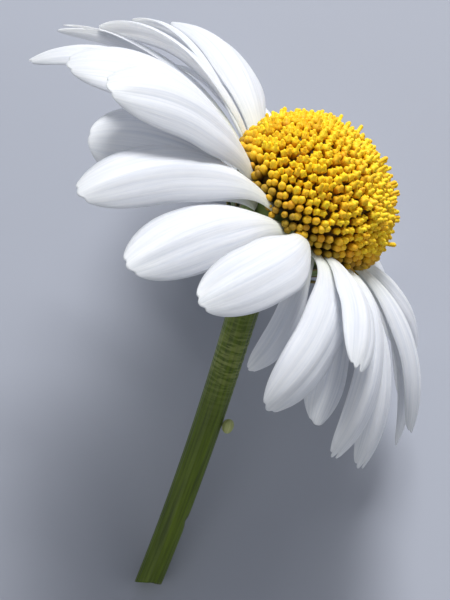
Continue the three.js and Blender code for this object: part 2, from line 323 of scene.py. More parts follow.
def blend(tree: Any, share: Any, a: Any, b: Any, mode: str = "MIX") -> Any:
    """Two colours mixed.

    Args:
        tree: the material's node tree.
        share: how much of b there is, a number or a socket.
        a: the first colour.
        b: the second colour.
        mode: how the two are put together.

    Returns:
        The mixed colour's output.
    """
    settings = {"data_type": "RGBA", "blend_type": mode}
    return add_node(tree, "ShaderNodeMix", settings, i0=share, i6=a, i7=b).outputs[2]


def start_material(name: str) -> tuple[bpy.types.Material, Any, Any]:
    """A new node material. Returns it, its tree and its principled shader."""
    material = bpy.data.materials.new(name)
    material.use_nodes = True
    tree = material.node_tree
    return material, tree, tree.nodes["Principled BSDF"]


@dataclass(frozen=True)
class PetalFinish:
    """Ray petal: living tissue a fifth of a millimetre thick, satin, with light passing through it.

    The cells hold air, which makes them white. Fine veins run from the claw to the tip, with painted
    blue-grey shade in their grooves. The claw is greenish yellow where it leaves the cup, and the thin tip
    is painted a greenish grey as painted shade.
    """

    white: str = "#eceef3"
    # Painted shade: the blue-grey painted into the veins' grooves and into soft patches.
    shade: str = "#d3d8e2"
    claw: str = "#cfd2ae"
    # Painted shade: the greenish grey painted on the last fifth of every petal.
    tip: str = "#dde0cc"
    vein_mm: float = 0.34
    vein_depth_mm: float = 0.05
    roughness: float = 0.5
    ior: float = 1.42

    def make(self) -> bpy.types.Material:
        """Builds the material from the petal's own along, across and width attributes."""
        material, tree, shader = start_material("ray_petal_tissue")
        along, across = attribute(tree, "along"), attribute(tree, "across_mm")
        length = attribute(tree, "along_mm")
        lanes, steps = scaled(tree, across, 1.0 / self.vein_mm), scaled(tree, length, 0.07)
        stretched = spread(tree, X=lanes, Y=steps, Z=attribute(tree, "petal"))
        veins = add_node(tree, "ShaderNodeTexNoise", Vector=stretched, Scale=1.0, Detail=3.0, Roughness=0.55)
        place = add_node(tree, "ShaderNodeTexCoord").outputs["Object"]
        cloudy = add_node(tree, "ShaderNodeTexNoise", Vector=place, Scale=260.0, Detail=2.0)
        # Painted shade: where the veins' bump is lowest, in the grooves, the petal is painted the blue-grey
        # shade colour; soft random patches take the same grey.
        tissue = ramp(tree, veins.outputs["Fac"], [(0.3, self.shade), (0.62, self.white)])
        cloud = ramp(tree, cloudy.outputs["Fac"], [(0.35, "#000000"), (0.9, "#4a4a4a")])
        tissue = blend(tree, cloud, tissue, linear(self.shade))
        base = ramp(tree, along, [(0.0, "#ffffff"), (0.1, "#b8b8b8"), (0.34, "#000000")])
        tissue = blend(tree, base, tissue, linear(self.claw))
        # Painted shade: the last fifth of every petal is painted a greenish grey.
        end = ramp(tree, along, [(0.8, "#000000"), (1.0, "#9a9a9a")])
        tissue = blend(tree, end, tissue, linear(self.tip))
        tree.links.new(tissue, shader.inputs["Base Color"])
        height, depth = veins.outputs["Fac"], self.vein_depth_mm * MM
        bump = add_node(tree, "ShaderNodeBump", Height=height, Distance=depth, Strength=0.7)
        tree.links.new(bump.outputs[0], shader.inputs["Normal"])
        shader.inputs["Roughness"].default_value = self.roughness
        shader.inputs["IOR"].default_value = self.ior
        shader.inputs["Subsurface Weight"].default_value = 0.85
        shader.inputs["Subsurface Radius"].default_value = (1.0, 0.97, 0.9)
        shader.inputs["Subsurface Scale"].default_value = 1.1 * MM
        shader.inputs["Sheen Weight"].default_value = 0.12
        shader.inputs["Sheen Roughness"].default_value = 0.5
        return material


@dataclass(frozen=True)
class FloretFinish:
    """Disc florets: waxy tubes a millimetre wide, closed and orange-olive by the rim, open and bright above.

    Open florets are dusted with pollen, so they are matt. Each floret is painted darker towards its foot and
    brown between the florets, as painted shade; the youngest, lowest by the rim, are painted a dark olive as
    painted shadow.
    """

    open_top: str = "#ffdc22"
    # Painted shade: the open florets' low colour, darker down towards the foot.
    open_low_shaded: str = "#d99c08"
    bud_top: str = "#e8b822"
    # Painted shade: the closed florets' low colour, darker down towards the foot.
    bud_low_shaded: str = "#977410"
    # Painted shadow: the dark olive painted on the youngest florets, lowest by the rim, in the gaps by the
    # petals' claws.
    rim: str = "#6d6426"
    # Painted shade: the dark brown painted at the foot of every floret, between them.
    gap_shade: str = "#4a3502"
    roughness: float = 0.6
    ior: float = 1.42

    def make(self) -> bpy.types.Material:
        """Builds the material from each floret's depth, ripeness and tone attributes."""
        material, tree, shader = start_material("disc_floret_tissue")
        depth, ripe, tone = (attribute(tree, n) for n in ("depth", "ripe", "tone"))
        # Painted shade: each floret runs from the dark gap colour at its foot, through its low colour, to
        # its own colour at its top.
        opened = ramp(tree, depth, [(0.0, self.gap_shade), (0.38, self.open_low_shaded), (0.8, self.open_top)])
        closed = ramp(tree, depth, [(0.0, self.gap_shade), (0.5, self.bud_low_shaded), (0.86, self.bud_top)])
        # Painted shadow: the youngest florets, lowest by the rim, are painted dark olive.
        green = ramp(tree, depth, [(0.0, self.gap_shade), (0.9, self.rim)])
        is_open = ramp(tree, ripe, [(0.1, "#000000"), (0.6, "#ffffff")])
        is_young = ramp(tree, ripe, [(0.0, "#c8c8c8"), (0.1, "#000000")])
        colour = blend(tree, is_young, blend(tree, is_open, closed, opened), green)
        tint = ramp(tree, tone, [(0.0, "#ecd5b0"), (0.35, "#f8f0dc"), (1.0, "#ffffff")])
        colour = blend(tree, 1.0, colour, tint, "MULTIPLY")
        tree.links.new(colour, shader.inputs["Base Color"])
        place = add_node(tree, "ShaderNodeTexCoord").outputs["Object"]
        grain = add_node(tree, "ShaderNodeTexNoise", Vector=place, Scale=4200.0, Detail=2.0)
        height = grain.outputs["Fac"]
        bump = add_node(tree, "ShaderNodeBump", Height=height, Distance=0.06 * MM, Strength=0.7)
        tree.links.new(bump.outputs[0], shader.inputs["Normal"])
        shader.inputs["Roughness"].default_value = self.roughness
        shader.inputs["IOR"].default_value = self.ior
        shader.inputs["Subsurface Weight"].default_value = 0.25
        shader.inputs["Subsurface Radius"].default_value = (1.0, 0.6, 0.1)
        shader.inputs["Subsurface Scale"].default_value = 0.35 * MM
        return material


@dataclass(frozen=True)
class GreenFinish:
    """Green herb tissue: satin skin, with fine ribs every few tenths of a millimetre.

    Where the skin is scarred it has paler flecks across it, where it is bruised it is brown, and a bract's
    margin is dry. The florets' bed is painted dark brown, as painted shade between the florets.
    """

    name: str
    dark: str
    light: str
    fleck: str
    rib_mm: float
    roughness: float = 0.5
    ior: float = 1.42
    margin: str = ""
    bed: str = ""
    bruise: str = "#241c08"

    def make(self) -> bpy.types.Material:
        """Builds the material from the piece's along_mm and across_mm attributes."""
        material, tree, shader = start_material(self.name)
        across, length = attribute(tree, "across_mm"), attribute(tree, "along_mm")
        stretched = spread(tree, X=scaled(tree, across, 1.0 / self.rib_mm), Y=scaled(tree, length, 0.12))
        ribs = add_node(tree, "ShaderNodeTexNoise", Vector=stretched, Scale=1.0, Detail=3.0)
        crossed = spread(tree, X=scaled(tree, across, 0.55), Y=scaled(tree, length, 2.6))
        scars = add_node(tree, "ShaderNodeTexNoise", Vector=crossed, Scale=1.0, Detail=2.0)
        colour = ramp(tree, ribs.outputs["Fac"], [(0.32, self.dark), (0.68, self.light)])
        flecks = ramp(tree, scars.outputs["Fac"], [(0.46, "#000000"), (0.58, "#ffffff")])
        flecks = scaled(tree, flecks, attribute(tree, "scarred"))
        colour = blend(tree, flecks, colour, linear(self.fleck))
        colour = blend(tree, attribute(tree, "bruised"), colour, linear(self.bruise))
        # Painted shade: the florets' bed, seen only between them, is painted dark brown.
        if self.bed:
            colour = blend(tree, attribute(tree, "bed"), colour, linear(self.bed))
        if self.margin:
            edge = ramp(tree, attribute(tree, "edge"), [(0.74, "#000000"), (0.9, "#ffffff")])
            colour = blend(tree, edge, colour, linear(self.margin))
        tree.links.new(colour, shader.inputs["Base Color"])
        height = ribs.outputs["Fac"]
        bump = add_node(tree, "ShaderNodeBump", Height=height, Distance=0.06 * MM, Strength=0.8)
        tree.links.new(bump.outputs[0], shader.inputs["Normal"])
        shader.inputs["Roughness"].default_value = self.roughness
        shader.inputs["IOR"].default_value = self.ior
        shader.inputs["Subsurface Weight"].default_value = 0.12
        shader.inputs["Subsurface Radius"].default_value = (0.6, 1.0, 0.2)
        shader.inputs["Subsurface Scale"].default_value = 0.4 * MM
        shader.inputs["Sheen Weight"].default_value = 0.1
        return material


@dataclass(frozen=True)
class PithFinish:
    """The stem's cut face: pale wet pith in the middle, a darker green ring of fibres at the skin."""

    pith: str = "#c3cf8e"
    ring: str = "#5d7327"

    def make(self) -> bpy.types.Material:
        """Builds the material from the cut's own share-of-radius attribute."""
        material, tree, shader = start_material("stem_pith")
        place = add_node(tree, "ShaderNodeTexCoord").outputs["Object"]
        cells = add_node(tree, "ShaderNodeTexVoronoi", Vector=place, Scale=3600.0)
        stops = [(0.0, self.pith), (0.62, self.pith), (0.85, self.ring)]
        colour = ramp(tree, attribute(tree, "radius"), stops)
        soft = ramp(tree, cells.outputs["Distance"], [(0.0, "#ffffff"), (0.8, "#b4b4a8")])
        tree.links.new(blend(tree, 1.0, colour, soft, "MULTIPLY"), shader.inputs["Base Color"])
        height = cells.outputs["Distance"]
        bump = add_node(tree, "ShaderNodeBump", Height=height, Distance=0.05 * MM, Strength=0.8)
        tree.links.new(bump.outputs[0], shader.inputs["Normal"])
        shader.inputs["Roughness"].default_value = 0.4
        return material


# ---- ray petals ------------------------------------------------------


class Tip(Enum):
    """How a petal's end is cut: a share of its length, as a function of the way across."""

    ROUND = "round"
    TOOTHED = "toothed"
    NOTCHED = "notched"
    FORKED = "forked"

    def trim(self, v: Array) -> Array:
        """Share of the length missing at v, from -1 to 1 across the petal."""
        if self is Tip.TOOTHED:
            return 0.01 * (bell(v, -0.33, 0.13) + bell(v, 0.33, 0.13))
        if self is Tip.NOTCHED:
            return 0.045 * bell(v, 0.1, 0.14) + 0.012 * bell(v, -0.45, 0.12)
        if self is Tip.FORKED:
            return 0.15 * bell(v, 0.05, 0.3) + 0.06 * smoothstep(v, 0.2, 0.9)
        return 0.006 * bell(v, -0.3, 0.15)


@dataclass(frozen=True)
class Petal:
    """One ray petal, in degrees and millimetres, as the CAD part has it, with its tip's cut and its surface.

    base and tip are azimuths, reach the tip's distance from the axis, and drop how far the tip lies
    behind the disc's base. rise and fall are the midrib's slopes, bow its sideways bend, turn the
    blade's twist at base and tip, cup how far its edges curl back, and layer 0 is in front. groove is
    how deep its channels are.
    """

    base: float
    tip: float
    reach: float
    drop: float
    rise: float
    fall: float
    bow: float
    width: float
    turn: tuple[float, float]
    cup: float
    layer: float
    end: Tip = Tip.TOOTHED
    groove: float = 0.16


PETALS: tuple[Petal, ...] = (
    Petal(base=-113, tip=-127, reach=29.0, drop=2.4, rise=27, fall=-40,
          bow=0, width=8.6, turn=(0, -6), cup=26, layer=0, end=Tip.ROUND),
    Petal(base=-102, tip=-113, reach=28.6, drop=3.9, rise=14, fall=-54,
          bow=0, width=2.8, turn=(10, 30), cup=50, layer=1.2, end=Tip.ROUND),
    Petal(base=-95, tip=-99.5, reach=28.0, drop=5.2, rise=28, fall=-66,
          bow=0, width=5.4, turn=(15, 36), cup=30, layer=0.2),
    Petal(base=-87, tip=-99, reach=31.7, drop=8.8, rise=18, fall=-50,
          bow=0, width=3.6, turn=(10, 40), cup=40, layer=0.9, end=Tip.FORKED),
    Petal(base=-78, tip=-81, reach=30.2, drop=9.9, rise=28, fall=-76,
          bow=0, width=7.0, turn=(0, 0), cup=35, layer=1.3),
    Petal(base=-64, tip=-63.5, reach=29.3, drop=4.6, rise=28, fall=-54,
          bow=0, width=8.2, turn=(-14, -12), cup=30, layer=0.5),
    Petal(base=-44, tip=-49.5, reach=28.4, drop=1.4, rise=31, fall=-46,
          bow=0, width=9.2, turn=(-10, -10), cup=42, layer=0),
    Petal(base=-30, tip=-50, reach=25.1, drop=7.4, rise=4, fall=-42,
          bow=-6, width=9.4, turn=(-10, -30), cup=25, layer=1.2, end=Tip.ROUND),
    Petal(base=-15, tip=-33, reach=29.0, drop=9.2, rise=17, fall=-52,
          bow=14, width=7.6, turn=(0, -8), cup=45, layer=0),
    Petal(base=2, tip=-14.5, reach=29.0, drop=9.4, rise=8, fall=-46,
          bow=4, width=7.8, turn=(0, 0), cup=40, layer=1),
    Petal(base=18, tip=0, reach=30.0, drop=6.0, rise=16, fall=-40,
          bow=-14, width=7.0, turn=(0, 0), cup=35, layer=0),
    Petal(base=34, tip=26, reach=18.6, drop=11.6, rise=-20, fall=-120,
          bow=0, width=3.4, turn=(0, 0), cup=30, layer=1),
    Petal(base=33, tip=26.5, reach=26.8, drop=10.6, rise=17, fall=-80,
          bow=-30, width=5.9, turn=(0, 0), cup=40, layer=0.7),
    Petal(base=50, tip=41, reach=25.0, drop=9.8, rise=4, fall=-50,
          bow=0, width=6.4, turn=(0, 0), cup=35, layer=1.3, end=Tip.ROUND),
    Petal(base=42, tip=36.5, reach=25.6, drop=2.2, rise=20, fall=-34,
          bow=-10, width=5.4, turn=(0, 0), cup=40, layer=0, end=Tip.NOTCHED),
    Petal(base=61.5, tip=47, reach=27.4, drop=11.0, rise=34, fall=-84,
          bow=-16, width=4.8, turn=(0, 0), cup=40, layer=1, end=Tip.NOTCHED),
    Petal(base=68, tip=59.5, reach=26.6, drop=11.6, rise=26, fall=-76,
          bow=0, width=6.2, turn=(0, 0), cup=40, layer=1.7, end=Tip.NOTCHED),
    Petal(base=78, tip=83, reach=24.6, drop=8.4, rise=20, fall=-64,
          bow=0, width=5.4, turn=(0, 0), cup=40, layer=0),
    Petal(base=86, tip=92, reach=24.6, drop=11.8, rise=20, fall=-70,
          bow=0, width=5.6, turn=(0, 0), cup=35, layer=1),
    Petal(base=97, tip=122, reach=23.4, drop=7.6, rise=2, fall=-54,
          bow=0, width=5.0, turn=(0, 0), cup=35, layer=0),
    Petal(base=111, tip=114, reach=24.0, drop=11.0, rise=6, fall=-50,
          bow=0, width=5.4, turn=(0, 0), cup=35, layer=1),
    Petal(base=125, tip=136, reach=23.6, drop=9.4, rise=0, fall=-44,
          bow=0, width=5.6, turn=(0, 0), cup=35, layer=0),
    Petal(base=140, tip=146, reach=24.4, drop=11.4, rise=-4, fall=-46,
          bow=0, width=5.6, turn=(0, 0), cup=35, layer=1),
    Petal(base=155, tip=160, reach=25.4, drop=7.4, rise=6, fall=-34,
          bow=0, width=5.6, turn=(0, 0), cup=35, layer=0),
    Petal(base=170, tip=172, reach=24.0, drop=10.0, rise=-6, fall=-40,
          bow=0, width=5.6, turn=(0, 0), cup=35, layer=1),
    Petal(base=185, tip=186, reach=26.0, drop=9.1, rise=6, fall=-44,
          bow=0, width=5.6, turn=(0, 0), cup=35, layer=0),
    Petal(base=200, tip=200, reach=26.0, drop=11.6, rise=-4, fall=-44,
          bow=0, width=5.6, turn=(0, 0), cup=35, layer=1),
    Petal(base=215, tip=213, reach=28.0, drop=6.0, rise=10, fall=-36,
          bow=0, width=5.6, turn=(0, 0), cup=35, layer=0),
    Petal(base=230, tip=226, reach=28.0, drop=6.5, rise=4, fall=-40,
          bow=0, width=5.6, turn=(0, 0), cup=35, layer=1),
)


@dataclass
class RayPetals:
    """The ring of ray petals.

    Each blade is a function of s along it and v across it: a cubic midrib, a half width that opens from the
    claw and rounds off at the tip, a sideways arc that bends the edges back, up to three channels
    pressed into the face, of seeded place and depth, and a slight wave in the edges.
    """

    claw_radius: float = 7.5
    layer_step: float = 0.7
    front_layer: float = -0.95
    claw_share: float = 0.36
    claw_curl: float = 0.8
    widest_from: float = 0.5
    tip_from: float = 0.68
    tip_round: float = 0.37
    tip_trim: float = 0.05
    handle_share: float = 0.36
    thickness: float = 0.2
    rows: int = 56
    columns: int = 25
    petals: tuple[Petal, ...] = field(default_factory=lambda: PETALS)

    def midrib(self, petal: Petal) -> Array:
        """The petal's midrib as a cubic curve.

        Args:
            petal: its shape.

        Returns:
            The curve's four control points in the head's frame, shape (4, 3).
        """
        start = polar(self.claw_radius, petal.base, self.front_layer - petal.layer * self.layer_step)
        end = polar(petal.reach, petal.tip, -petal.drop)
        across = end - start
        heading = math.degrees(math.atan2(across[1], across[0]))
        handle = np.linalg.norm(across) * self.handle_share
        rise, fall = math.radians(petal.rise), math.radians(petal.fall)
        leave = polar(math.cos(rise), heading - petal.bow, math.sin(rise))
        arrive = polar(math.cos(fall), heading + petal.bow, math.sin(fall))
        return np.stack([start, start + leave * handle, end - arrive * handle, end])

    def half_width(self, width: float, s: Array) -> Array:
        """Half the blade's width: width/2, times the claw's opening, times the tip's round.

        Args:
            width: the blade's full width.
            s: shares of the length, of any shape.

        Returns:
            Half widths of the same shape.
        """
        opened = mix(self.claw_share, 1.0, smoothstep(s, 0.0, self.widest_from))
        rounded = np.sqrt(np.maximum(1e-4, 1 - (np.maximum(0.0, s - self.tip_from) / self.tip_round) ** 2))
        return width / 2 * opened * rounded

    def surface(self, petal: Petal, index: int) -> tuple[Array, dict[str, Array]]:
        """One petal's points and attributes.

        Args:
            petal: its shape.
            index: its place in the ring, which also seeds its waviness.

        Returns:
            Front then back points in the row's frame, and the attributes of all of them.
        """
        dice = np.random.default_rng(SEED + index)
        s1 = 1 - (1 - np.linspace(0.0, 1.0, self.rows)) ** 1.25
        s, v = np.meshgrid(s1, np.linspace(-1.0, 1.0, self.columns), indexing="ij")
        t = s * (1 - (self.tip_trim * v * v + petal.end.trim(v)) * s**3 / np.maximum(s, 0.05) ** 2)
        place, along = cubic(self.midrib(petal), t)
        flat = polar(1.0, mix(petal.base, petal.tip, t) + 90, 0.0)
        side = unit(flat - along * np.sum(flat * along, axis=-1, keepdims=True))
        turn = np.radians(mix(petal.turn[0], petal.turn[1], t))[..., None]
        side = side * np.cos(turn) + np.cross(along, side) * np.sin(turn)
        out = np.cross(along, side)
        curl = mix(self.claw_curl, math.radians(petal.cup), smoothstep(t, 0.0, self.widest_from))
        w = self.half_width(petal.width, s)
        normal = out * np.cos(curl * v)[..., None] + side * np.sin(curl * v)[..., None]
        place = place + side * (w * np.sin(curl * v) / curl)[..., None]
        place = place - out * (w * (1 - np.cos(curl * v)) / curl)[..., None]
        body = smoothstep(s, 0.08, 0.35) * (1 - smoothstep(s, 0.86, 1.0))
        left, right = dice.uniform(0.24, 0.46, 2)
        deep = dice.uniform(0.35, 1.1, 3)
        drift = 0.06 * np.sin(3.0 * s + dice.uniform(0, 2 * math.pi))
        channel = deep[0] * bell(v - drift, -left, 0.14) + deep[1] * bell(v - drift, right, 0.14)
        channel = channel - 0.45 * bell(v, 0.0, 0.22) + 0.4 * deep[2] * bell(v + drift, 0.72, 0.1)
        press = -petal.groove * body * channel
        phase = dice.uniform(0, 2 * math.pi, 4)
        wave = np.sin(5.5 * s + phase[0] + 1.2 * v) * 0.6 + np.sin(11 * s + phase[1] - 2.0 * v) * 0.25
        press = press + 0.16 * wave * smoothstep(np.abs(v), 0.3, 1.0) * smoothstep(s, 0.2, 0.6)
        place = place + normal * press[..., None]
        half = self.thickness / 2 * mix(1.0, 0.3, v**4) * mix(1.3, 0.6, s)
        front, back = place + normal * half[..., None], place - normal * half[..., None]
        length = float(np.linalg.norm(np.diff(self.midrib(petal), axis=0), axis=1).sum()) * 0.9
        values = {
            "along": s,
            "across_mm": v * petal.width / 2,
            "along_mm": s * length,
            "petal": np.full_like(s, index * 3.7),
        }
        points = np.concatenate([front.reshape(-1, 3), back.reshape(-1, 3)])
        return HEAD.to_row(points), {k: np.concatenate([a.ravel(), a.ravel()]) for k, a in values.items()}

    def build(self, material: bpy.types.Material) -> None:
        """Builds each petal as its own piece, in place of its CAD node."""
        faces = leaf_faces(self.rows, self.columns)
        for index, petal in enumerate(self.petals, start=1):
            points, values = self.surface(petal, index)
            node = f"petal_{index:02d}"
            new_piece(f"ray_{node}", points, faces, values, material, [node])


# ---- disc florets ----------------------------------------------------


@dataclass
class DiscFlorets:
    """The domed disc: florets set on a golden-angle spiral, each a small ringed body.

    Floret k of n stands at azimuth 137.508 k and at the height that shares the dome's area out evenly. It
    leans from square to the dome towards the flower's axis, as packed florets do.
    """

    radius: float = 9.7
    height: float = 8.8
    count: int = 740
    # The lowest rows reach below the petals' claws, where their dark olive paint stands in for shadow.
    lowest: float = -0.13
    sink: float = 0.7
    axis_lean: float = 0.42
    sides: int = 10
    bands: tuple[tuple[str, float, float], ...] = (
        ("outer", -90.0, 27.0),
        ("middle", 27.0, 57.0),
        ("centre", 57.0, 90.1),
    )

    def profiles(self) -> tuple[Array, Array, Array]:
        """Ring radii and heights of a closed and of an open floret, and how much lobed each ring is.

        Returns:
            Two arrays of (radius, height) rows in millimetres, and an array of (closed, open) lobing rows.
        """
        closed = [[0.26, -1.9], [0.4, -0.8], [0.45, -0.36], [0.43, -0.02], [0.31, 0.22], [0.12, 0.32]]
        opened = [[0.26, -1.9], [0.4, -0.5], [0.46, -0.06], [0.2, 0.02], [0.2, 0.22], [0.1, 0.33]]
        lobed = [[0.0, 0.0], [0.0, 0.1], [0.0, 0.3], [0.05, 0.0], [0.1, 0.3], [0.2, 0.0]]
        return np.array(closed), np.array(opened), np.array(lobed)

    def florets(self) -> tuple[Array, dict[str, Array], Array]:
        """All florets at once.

        Returns:
            Points of shape (count, rings, sides, 3) in the row's frame, attributes of shape (count, rings,
            sides), and each floret's angle up from the disc's edge in degrees.
        """
        dice = np.random.default_rng(SEED)
        k = np.arange(self.count)
        up = 1 - (k + 0.5) / self.count * (1 - self.lowest)
        azimuth = 137.508 * k + dice.normal(0, 1.3, self.count)
        level = np.sqrt(np.maximum(0.0, 1 - up**2))
        foot = polar(self.radius * level, azimuth, self.height * up)
        square = unit(polar(level / self.radius, azimuth, up / self.height))
        ripe = self.ripeness(up, azimuth) + dice.normal(0, 0.05, self.count)
        ripe = np.clip(ripe, 0, 1)
        wobble = dice.normal(0, 0.07, (self.count, 3)) * mix(0.4, 1.5, ripe)[:, None]
        lean = unit(square + np.array([0.0, 0.0, self.axis_lean]) + wobble)
        ring = unit(np.cross(lean, polar(0.0, 0.0, 1.0) + 1e-3))
        other = np.cross(lean, ring)
        size = mix(0.92, 0.98, ripe) * dice.uniform(0.86, 1.1, self.count)
        lift = dice.normal(0, 0.06, self.count) + ripe * dice.normal(0.04, 0.12, self.count) - self.sink
        closed, opened, lobed = self.profiles()
        share = smoothstep(ripe, 0.35, 0.7)[:, None]
        radius = mix(closed[:, 0], opened[:, 0], share) * size[:, None]
        rise = mix(closed[:, 1], opened[:, 1], share) * size[:, None]
        taller = dice.exponential(0.12, self.count) * ripe
        taller = taller + 0.5 * (dice.uniform(0, 1, self.count) > 0.965) * ripe
        rise[:, 4:] += taller[:, None]
        depth = mix(closed[:, 1], opened[:, 1], share)
        lobes = mix(lobed[:, 0], lobed[:, 1], share)[:, :, None]
        a = np.arange(self.sides) / self.sides * 2 * math.pi
        uneven = dice.uniform(0.6, 1.25, (self.count, 1, self.sides))
        radius = radius[:, :, None] * (1 + lobes * np.cos(5 * a) * uneven)
        rise = rise[:, :, None] - 0.22 * lobes * np.cos(5 * a) * uneven + lift[:, None, None]
        turn = (a + dice.uniform(0, 2 * math.pi, self.count)[:, None])[:, None]
        points = (
            foot[:, None, None]
            + (radius * np.cos(turn))[..., None] * ring[:, None, None]
            + (radius * np.sin(turn))[..., None] * other[:, None, None]
            + rise[..., None] * lean[:, None, None]
        )
        whole = np.ones(radius.shape)
        values = {
            # depth, the height up each floret, drives the painted shade that darkens it towards its foot.
            "depth": np.clip((depth[:, :, None] + 1.1) / 1.4, 0, 1) * whole,
            "ripe": ripe[:, None, None] * whole,
            "tone": dice.uniform(0, 1, self.count)[:, None, None] * whole,
        }
        return HEAD.to_row(points), values, np.degrees(np.arcsin(np.clip(up, -1, 1)))

    def ripeness(self, up: Array, azimuth: Array) -> Array:
        """How open the florets are: closed by the rim, and later on the upper side than on the others."""
        side = np.cos(np.radians(azimuth - 20.0))
        return smoothstep(up, -0.06, 0.4) * smoothstep(up - 0.24 * side, -0.3, 0.36)

    def build(self, material: bpy.types.Material) -> None:
        """Builds each band of florets as one piece, in place of its CAD node."""
        points, values, angle = self.florets()
        rings, sides = points.shape[1], self.sides
        one = tube_faces(rings, sides)
        for name, low, high in self.bands:
            chosen = np.nonzero((angle >= low) & (angle < high))[0]
            faces = [f + n * rings * sides for n in range(len(chosen)) for f in one]
            band = points[chosen].reshape(-1, 3)
            kept = {key: a[chosen].ravel() for key, a in values.items()}
            nodes = [f"disc_florets_{name}"]
            new_piece(f"florets_{name}", band, faces, kept, material, nodes)


# ---- receptacle and bracts -------------------------------------------


@dataclass
class Cup:
    """The green cup behind the petals with the florets' bed on it, and the two rows of bracts.

    The cup's section is a quarter ellipse from the neck to the rim; a bract's point lies on it at an
    angle round
    the section, lifted off the skin.
    """

    neck_radius: float = 2.5
    rim_radius: float = 6.9
    rim_height: float = -1.6
    depth: float = 5.9
    bed_inset: float = 1.6
    disc: DiscFlorets = field(default_factory=DiscFlorets)
    rows: tuple[tuple[str, float, float, float, float, float], ...] = (
        ("inner", 0.5, 62.0, 8.0, 3.4, 0.0),
        ("outer", 1.1, 84.0, 38.0, 3.0, 0.5),
    )
    per_row: int = 12
    bract_thickness: float = 0.3

    def section(self, angle: Array, lift: Array) -> tuple[Array, Array]:
        """Radius and height of the cup's skin at an angle round its section, moved out by lift."""
        a = np.radians(angle)
        radius = mix(self.neck_radius, self.rim_radius, np.cos(a)) + lift * np.cos(a)
        return radius, self.rim_height - (self.depth + self.rim_height + lift) * np.sin(a)

    def build_cup(self, material: bpy.types.Material) -> None:
        """The cup and bed as one turned body: the section's profile carried round the axis."""
        r0, z0 = self.section(np.linspace(90, 6, 18), np.zeros(18))
        a = np.radians(np.linspace(-2, 86, 22))
        r1 = (self.disc.radius - self.bed_inset) * np.cos(a)
        z1 = (self.disc.height - self.bed_inset) * np.sin(a)
        waist = np.array([[7.0, -1.2], [7.1, -0.6]])
        radius = np.concatenate([r0, waist[:, 0], r1])
        height = np.concatenate([z0, waist[:, 1], z1])
        turn = np.linspace(0, 360, 96, endpoint=False)
        points = polar(radius[:, None], turn[None, :], height[:, None]).reshape(-1, 3)
        walk = np.concatenate([[0], np.cumsum(np.hypot(np.diff(radius), np.diff(height)))])
        whole = np.ones((len(radius), len(turn)))
        values = {
            "along_mm": walk[:, None] * whole,
            "across_mm": np.radians(turn)[None, :] * 6.0 * whole,
            # bed marks the florets' bed, which is painted dark brown as painted shade between the florets.
            "bed": (height[:, None] > -0.9) * whole,
        }
        faces = tube_faces(len(radius), len(turn))
        new_piece("cup_and_bed", HEAD.to_row(points), faces, values, material, ["receptacle"])

    def build_bracts(self, material: bpy.types.Material) -> None:
        """Each bract as a curved leaf with a keel down its middle and thin dry edges."""
        rows, columns = 22, 13
        faces = leaf_faces(rows, columns)
        for kind, lift, low, high, width, shift in self.rows:
            for index in range(self.per_row):
                dice = np.random.default_rng(SEED + 100 * len(kind) + index + (50 if kind == "outer" else 0))
                azimuth = 360 * (index + shift) / self.per_row
                s, v = np.meshgrid(np.linspace(0, 1, rows), np.linspace(-1, 1, columns), indexing="ij")
                angle = mix(low, high, s * (1 - 0.04 * v * v))
                base_radius = self.section(angle, np.full_like(s, lift))[0]
                half = width / 2 * np.sqrt(np.maximum(0.0016, 1.02 - s**2)) * mix(0.75, 1.0, s)
                half_angle = np.degrees(np.minimum(half / base_radius, 0.21))
                keel = 0.16 * bell(v, 0.0, 0.18) * (1 - s) + 0.1 * s**3 * dice.uniform(0.2, 1.2)
                thick = self.bract_thickness / 2 * mix(1.0, 0.25, np.abs(v) ** 3)
                sheets = []
                for sign in (-1, 1):
                    radius, height = self.section(angle, lift + keel + sign * thick)
                    sheets.append(polar(radius, azimuth + v * half_angle, height).reshape(-1, 3))
                edge = np.maximum(np.abs(v), smoothstep(s, 0.7, 1.0))
                values = {"along_mm": s * 6.0, "across_mm": v * width / 2 + 9.0 * index, "edge": edge}
                both = {k: np.concatenate([a.ravel(), a.ravel()]) for k, a in values.items()}
                node = f"bract_{kind}_{index + 1:02d}"
                points = HEAD.to_row(np.concatenate(sheets))
                new_piece(f"{node}_scale", points, faces, both, material, [node])


# ---- stem ------------------------------------------------------------


